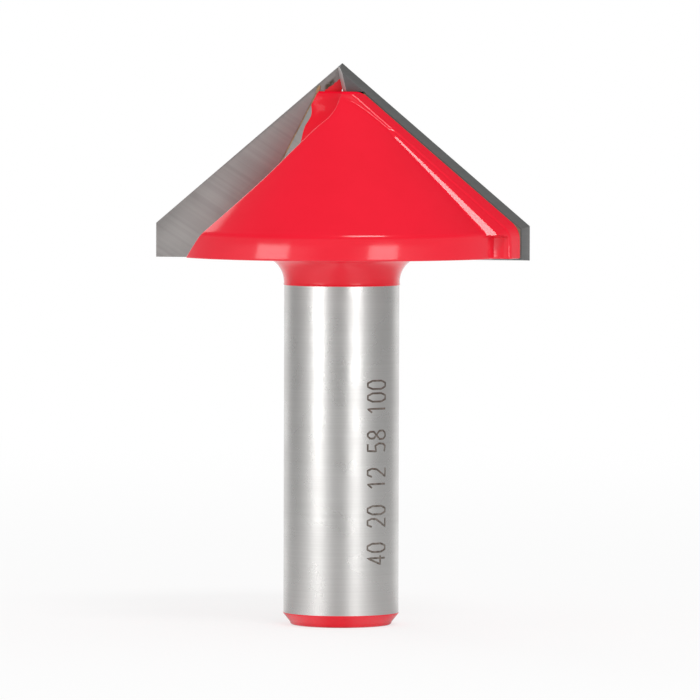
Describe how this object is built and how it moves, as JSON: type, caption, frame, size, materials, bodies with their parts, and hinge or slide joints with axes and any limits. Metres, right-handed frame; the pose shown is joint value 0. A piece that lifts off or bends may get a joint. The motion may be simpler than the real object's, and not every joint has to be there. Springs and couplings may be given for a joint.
{
  "type": "engraving router bit",
  "caption": "Router bit that cuts a wide V groove: a round shank carries a red cone head with milled gullets and brazed carbide tips that meet in a sharp point.",
  "frame": {"origin": "centre of the flat end of the shank, which the bit stands on", "axes": "+Z along the axis of rotation from the shank end to the point, +X along blade a, whose face looks to +Y, so the bit turns counter-clockwise seen from its point"},
  "size_m": [0.04, 0.0352, 0.0585],
  "materials": {
    "red_paint": "gloss red paint over steel on the head, neck and end chamfer; the shank between them is bare ground steel",
    "carbide": "ground tungsten carbide, dull grey",
    "braze": "thin brass-coloured braze line"
  },
  "bodies": {
    "root": {"cutter_body": "red_paint", "carbide_tip_a": "carbide", "carbide_tip_b": "carbide", "braze_joint_a": "braze", "braze_joint_b": "braze"}
  },
  "joints": []
}
